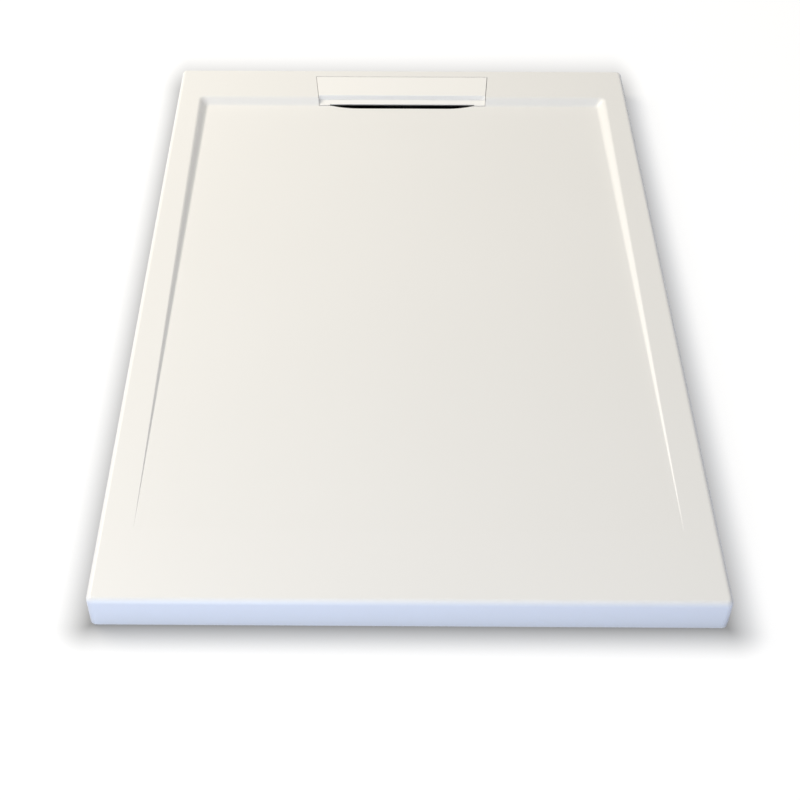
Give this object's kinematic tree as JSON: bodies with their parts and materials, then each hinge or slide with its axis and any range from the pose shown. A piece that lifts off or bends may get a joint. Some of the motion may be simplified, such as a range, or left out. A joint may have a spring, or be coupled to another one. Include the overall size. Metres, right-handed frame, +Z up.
{
  "type": "shower tray",
  "caption": "Low rectangular cast shower tray with a walk-in front, a floor that falls to a covered slot drain at the back, and a lift-off drain cover.",
  "frame": {"origin": "middle of the tray's outline on its underside, where it stands on the floor", "axes": "+Y towards the drain at the back, +X to the right as one steps in over the front, +Z up"},
  "size_m": [0.8, 1.2, 0.05],
  "materials": {
    "cast_resin": "satin",
    "grey_plastic": "matte",
    "white_plastic": "satin",
    "black_rubber": "matte",
    "clear_rubber": "satin"
  },
  "bodies": {
    "tray": {"tray_body": "cast_resin", "waste_flange": "grey_plastic", "flange_seal": "black_rubber", "lower_seal": "black_rubber", "slip_ring": "white_plastic", "lock_nut": "grey_plastic", "pipe_seal": "black_rubber"},
    "cover": {"drain_cover": "cast_resin", "cover_bumpers": "clear_rubber"},
    "strainer": {"hair_strainer": "white_plastic"}
  },
  "joints": [
    {"name": "cover_lift", "type": "slide", "parent": "tray", "child": "cover", "axis": [0, 0, 1], "range_m": [0, 0.12]},
    {"name": "strainer_lift", "type": "slide", "parent": "tray", "child": "strainer", "axis": [0, 0, 1], "range_m": [0, 0.06]}
  ],
  "couplings": [
    {"joint": "strainer_lift", "follows": "cover_lift", "ratio": 0.5}
  ]
}
